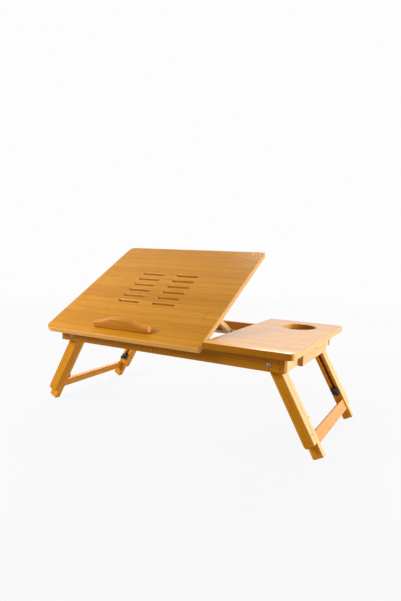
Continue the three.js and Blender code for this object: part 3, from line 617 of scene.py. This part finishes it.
def resampled(loop, extra, count):
    """Points at even steps round a closed loop, with the loop's own points kept, and the
    extra values of the loop's points carried over in the same way."""
    closed = np.vstack([loop, loop[:1]])
    distance = np.concatenate([[0], np.cumsum(np.linalg.norm(np.diff(closed, axis=0), axis=1))])
    even = np.linspace(0, distance[-1], count, endpoint=False)
    at = np.unique(np.concatenate([even, distance[:-1]]).round(7))
    both = np.hstack([closed, np.vstack([extra, extra[:1]])])
    return np.stack([np.interp(at, distance, column) for column in both.T], -1)


def board_outline(low, high, right_radius, left_radius, count, corner_steps=13):
    """Points round a board with round corners, and the outward direction at each: every corner
    is a quarter circle, and the straight sides join them."""
    radius = np.array([right_radius, right_radius, left_radius, left_radius])[:, None]
    corner = np.array([[high.x, low.y], [high.x, high.y], [low.x, high.y], [low.x, low.y]])
    middle = corner + radius * [[-1, 1], [-1, -1], [1, -1], [1, 1]]
    angle = np.radians([-90, 0, 90, 180])[:, None] + np.linspace(0, np.pi / 2, corner_steps)
    outward = np.stack([np.cos(angle), np.sin(angle)], -1)
    points = middle[:, None] + radius[:, :, None] * outward
    both = resampled(points.reshape(-1, 2), outward.reshape(-1, 2), count)
    return both[:, :2], both[:, 2:]


def panel_board():
    """The board as one ring surface. Going round it, a point on the outline pairs with the point
    on the cup hole at the same bearing. Going across, the skin runs down the rolled outer
    edge, in over the underside, up the hole's wall and back over the top."""
    low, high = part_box("side_panel")
    ease, right_radius, left_radius = 1.5 * MM, 14 * MM, 3 * MM
    around, rows = 170, 9
    outer, outward = board_outline(low, high, right_radius, left_radius, around)
    away = outer - CUP_CENTRE
    away /= np.linalg.norm(away, axis=1)[:, None]
    edge = rolled(outer, -outward, high.z, low.z, ease)
    wall = rolled(CUP_CENTRE + CUP_RADIUS * away, away, high.z, low.z, ease)[:, ::-1]
    share = np.linspace(0, 1, rows)[None, 1:-1, None]
    underside = edge[:, -1:] * (1 - share) + wall[:, :1] * share
    top = wall[:, -1:] * (1 - share) + edge[:, :1] * share
    return surface("panel_board", np.concatenate([edge, underside, wall, top], 1), ring=True)


def bezier(controls, count):
    """All but the last of the points on a curve of any degree: each is the sum of the controls
    weighted by the Bernstein terms of its share of the way."""
    controls = np.array(controls, float)
    degree = len(controls) - 1
    share = np.linspace(0, 1, count)[:-1, None]
    terms = [comb(degree, i) * share**i * (1 - share) ** (degree - i) for i in range(degree + 1)]
    return sum(term * control for term, control in zip(terms, controls))


def stop_ledge():
    """The rail's outline in millimetres, with low round ends and a smooth hump, carried from its
    front to its rear and rolled over at both."""
    half, ease, thick, low, tall = 69.0, 3.0, 12.0, 14.0, 27.0
    shoulder, end, foot = half / 2, half - low / 2, half - low / 4
    outline = np.vstack([
        bezier([(-foot, 0), (foot, 0)], 24),
        bezier([(foot, 0), (half, 0), (half, low / 2)], 8),
        bezier([(half, low / 2), (half, low), (end, low)], 8),
        bezier([(end, low), (shoulder, low), (shoulder, tall), (0, tall)], 30),
        bezier([(0, tall), (-shoulder, tall), (-shoulder, low), (-end, low)], 30),
        bezier([(-end, low), (-half, low), (-half, low / 2)], 8),
        bezier([(-half, low / 2), (-half, 0), (-foot, 0)], 8),
    ])
    along = np.roll(outline, -1, 0) - np.roll(outline, 1, 0)
    inward = np.stack([-along[:, 1], along[:, 0]], -1) / np.linalg.norm(along, axis=1)[:, None]
    points = rolled(outline, inward, -thick / 2, thick / 2, ease, 6)[..., [0, 2, 1]]
    return surface("stop_ledge", on_flap(points + LEDGE_BASE))


def ledge_peg(name, x):
    """A dowel with an eased end, from inside the rail down into the flap."""
    radius, height = np.array([(0.2, 2.0), (4.0, 2.0), (4.0, -8.2), (3.6, -8.9), (2.9, -9.0), (0.2, -9.0)]).T
    return surface(name, on_flap(swept(radius, bearings(32), height) + LEDGE_BASE + [x, 0, 0]))


def wing_knob(name, side, end):
    """A moulded knob and its screw in one turn. Its radius at a bearing is the larger of a round
    hub, which fades out with height, and a bar with round ends, which makes the two wings. The
    crown rolls in to the middle, and below the seat the radius is that of the screw, which
    rises and falls with the bearing as a thread does. The screw's faces are the second material."""
    bearing = bearings(96)
    half, thick, hub = 10.5, 4.2, 8.0
    hub_top, hub_fade, hub_loss = 4.6, 2.4, 0.75
    screw, screw_tip, pitch, thread_depth = 2.5, -22.4, 0.8, 0.22
    run = half - thick
    c, s = np.abs(np.cos(bearing)), np.abs(np.sin(bearing))
    flat = thick / np.maximum(s, 1e-6)
    tip = run * c + np.sqrt(np.maximum(thick**2 - (run * s) ** 2, 0))
    wings = np.where(flat * c < run, flat, tip)

    # Heights over the seat, and the share of the radius that is kept where foot and crown roll in
    height = np.array([0.3, 0.4, 1.0, 2.2, 3.6, 4.8, 5.6, 6.0, 6.5, 7.4, 8.3, 9.0, 9.5, 9.85, 10.0])
    kept = np.array([0.94, 0.98, 1, 1, 1, 1, 1, 1, 1, 1, 0.985, 0.95, 0.89, 0.79, 0.62])
    fade = 1 - np.clip((height - hub_top) / hub_fade, 0, 1) ** 2 * hub_loss
    body = np.maximum(wings, hub * fade) * kept
    thread_height = np.arange(screw_tip, height[0] - 0.01, pitch / 4)
    wave = 1 - np.cos(2 * np.pi * (thread_height / pitch - bearing / (2 * np.pi)))
    radius = np.hstack([screw - thread_depth * wave / 2, body])
    up = np.concatenate([thread_height, height])
    points = swept(radius, bearing, -end * up)[..., [0, 2, 1]]
    points = about_y(points, side * end * KNOB_TURN) + [0, end * KNOB_SEAT_Y, -KNOB_DOWN]
    knob = surface(name, on_leg(points, side))
    material_of = np.zeros(len(knob.data.polygons), np.int32)
    cells = material_of[: len(bearing) * (radius.shape[1] - 1)].reshape(len(bearing), -1)
    cells[:, : len(thread_height)] = 1
    knob.data.polygons.foreach_set("material_index", material_of)
    return knob


def pivot_bolt(name, side, end):
    """A dome-headed bolt with a hexagon socket, its shank and its nut, in one turn: the radius is
    round along the dome and the shank, and six-sided along the socket and the nut."""
    bearing = bearings(48)
    sixth = np.pi / 3
    hexagon = np.cos(sixth / 2) / np.cos(bearing % sixth - sixth / 2)
    shank, nut, nut_thick, nut_ease = 2.5, 4.8, 4.0, 0.3
    head, tall, socket, socket_deep, rim_angle, rim_height = 4.0, 1.6, 2.2, 0.9, 0.66, 0.78
    head_from, nut_from = 151.3, 123.3
    nut_to = nut_from - nut_thick
    tip = nut_to - 0.8
    dome = np.linspace(rim_angle, np.pi / 2, 7)[::-1]

    # How far out each ring lies, its radius, and whether it is six-sided
    stations = [(tip, 0.6, 0), (tip, shank - 0.4, 0), (tip + 0.4, shank, 0), (nut_to, shank, 0)]
    stations += [(nut_to, nut - nut_ease, 1), (nut_to + nut_ease, nut, 1)]
    stations += [(nut_from - nut_ease, nut, 1), (nut_from, nut - nut_ease, 1), (nut_from, shank, 0)]
    stations += [(head_from, shank, 0)]
    stations += [(head_from + tall * np.cos(t), head * np.sin(t), 0) for t in dome]
    stations += [(head_from + tall * rim_height, socket, 1), (head_from - socket_deep, socket, 1)]
    far_out, size, six = np.array(stations).T
    radius = size * (1 - six + six * hexagon)
    points = swept(radius, bearing, end * far_out)[..., [0, 2, 1]]
    return surface(name, (points + [side * PIVOT[0], 0, PIVOT[2]]) * MM + [0, SHIFT_Y, 0])


def cross_head(radius, rise, recess):
    """A screw head as a height over a disc: a low dome, sunk by the depth of the recess inside
    a cross whose arms narrow towards their ends. Its rim goes a little way down."""
    bearing = bearings(48)
    arm_half, arm_taper, arm_reach, rim_down = 0.17, 0.1, 0.66, 0.6
    size = radius * np.array([1.0, 1.0, 0.96, 0.88, 0.78, 0.7, 0.62, 0.54, 0.44, 0.34, 0.24, 0.14, 0.05])
    across = np.minimum(np.abs(np.cos(bearing)), np.abs(np.sin(bearing))) * size
    cross = (across < arm_half * radius - arm_taper * size) & (size < arm_reach * radius)
    height = rise * (1 - (size / radius) ** 2) - recess * cross
    height[:, 0] = -rim_down
    return swept(size, bearing, height)


def hinge_screws():
    """Countersunk cross-head screws, three to a leaf, on the faces of the leaves that show. Each
    body's screws are given by their shape and their places."""
    head = cross_head(2.6, 0.06, 0.5)
    under = head * [1, -1, -1]
    upper_face, lower_face = 1.1, 1.4
    offsets = [np.array([x, y, 0]) for x, y in ((-17, 8), (0, 11), (17, 8))]
    frame_places, flap_places, prop_places = [], [], []
    for x in FLAP_HINGE_X:
        for offset in offsets:
            frame_places.append(lambda p, at=offset + [x, 0, upper_face]: level(p + at))
            flap_places.append(lambda p, at=offset + [x, 0, lower_face]: on_flap(p + at))
    for x in PROP_HINGE_X:
        for offset in offsets:
            flap_places.append(lambda p, at=offset + [x, PROP_REACH, lower_face]: on_flap(p + at))
            prop_places.append(lambda p, at=offset + [x, 0, -lower_face]: on_prop(p + at))
    return {"frame": (head, frame_places), "flap": (under, flap_places), "prop": (head, prop_places)}


def filled_nail_holes():
    """Where the long aprons are nailed to the end aprons, each sunk nail is under a small round
    plug of dark filler, a low dome."""
    dome = cross_head(1.7, 0.12, 0.0)
    places = [
        partial(on_apron, at=np.array([x, end * APRON_FACE_Y, z]), end=end)
        for end in ENDS.values()
        for x, z in NAIL_PLACES
    ]
    return many("filled_nail_holes", dome, places)


# Pieces

dress(panel_board(), "frame", [bamboo_panel], ["side_panel"])
dress(stop_ledge(), "ledge", [bamboo_ledge], ["ledge"])
for side_name, side in SIDES.items():
    dress(ledge_peg(f"ledge_peg_{side_name}", side * 45.0), "ledge", [bamboo_ledge])
for side_name, end_name in CORNERS:
    at = f"{side_name}_{end_name}"
    knob = wing_knob(f"knob_{at}", SIDES[side_name], ENDS[end_name])
    dress(knob, f"knob_{at}", [black_nylon, zinc], [f"wing_knob_{at}"])
for side_name, end_name in CORNERS:
    at = f"{side_name}_{end_name}"
    bolt = pivot_bolt(f"bolt_{at}", SIDES[side_name], ENDS[end_name])
    dress(bolt, "frame", [zinc], [f"pivot_bolt_{at}"])
for body, (shape, places) in hinge_screws().items():
    dress(many(f"hinge_screws_{body}", shape, places), body, [zinc])
dress(filled_nail_holes(), "frame", [brown_filler])
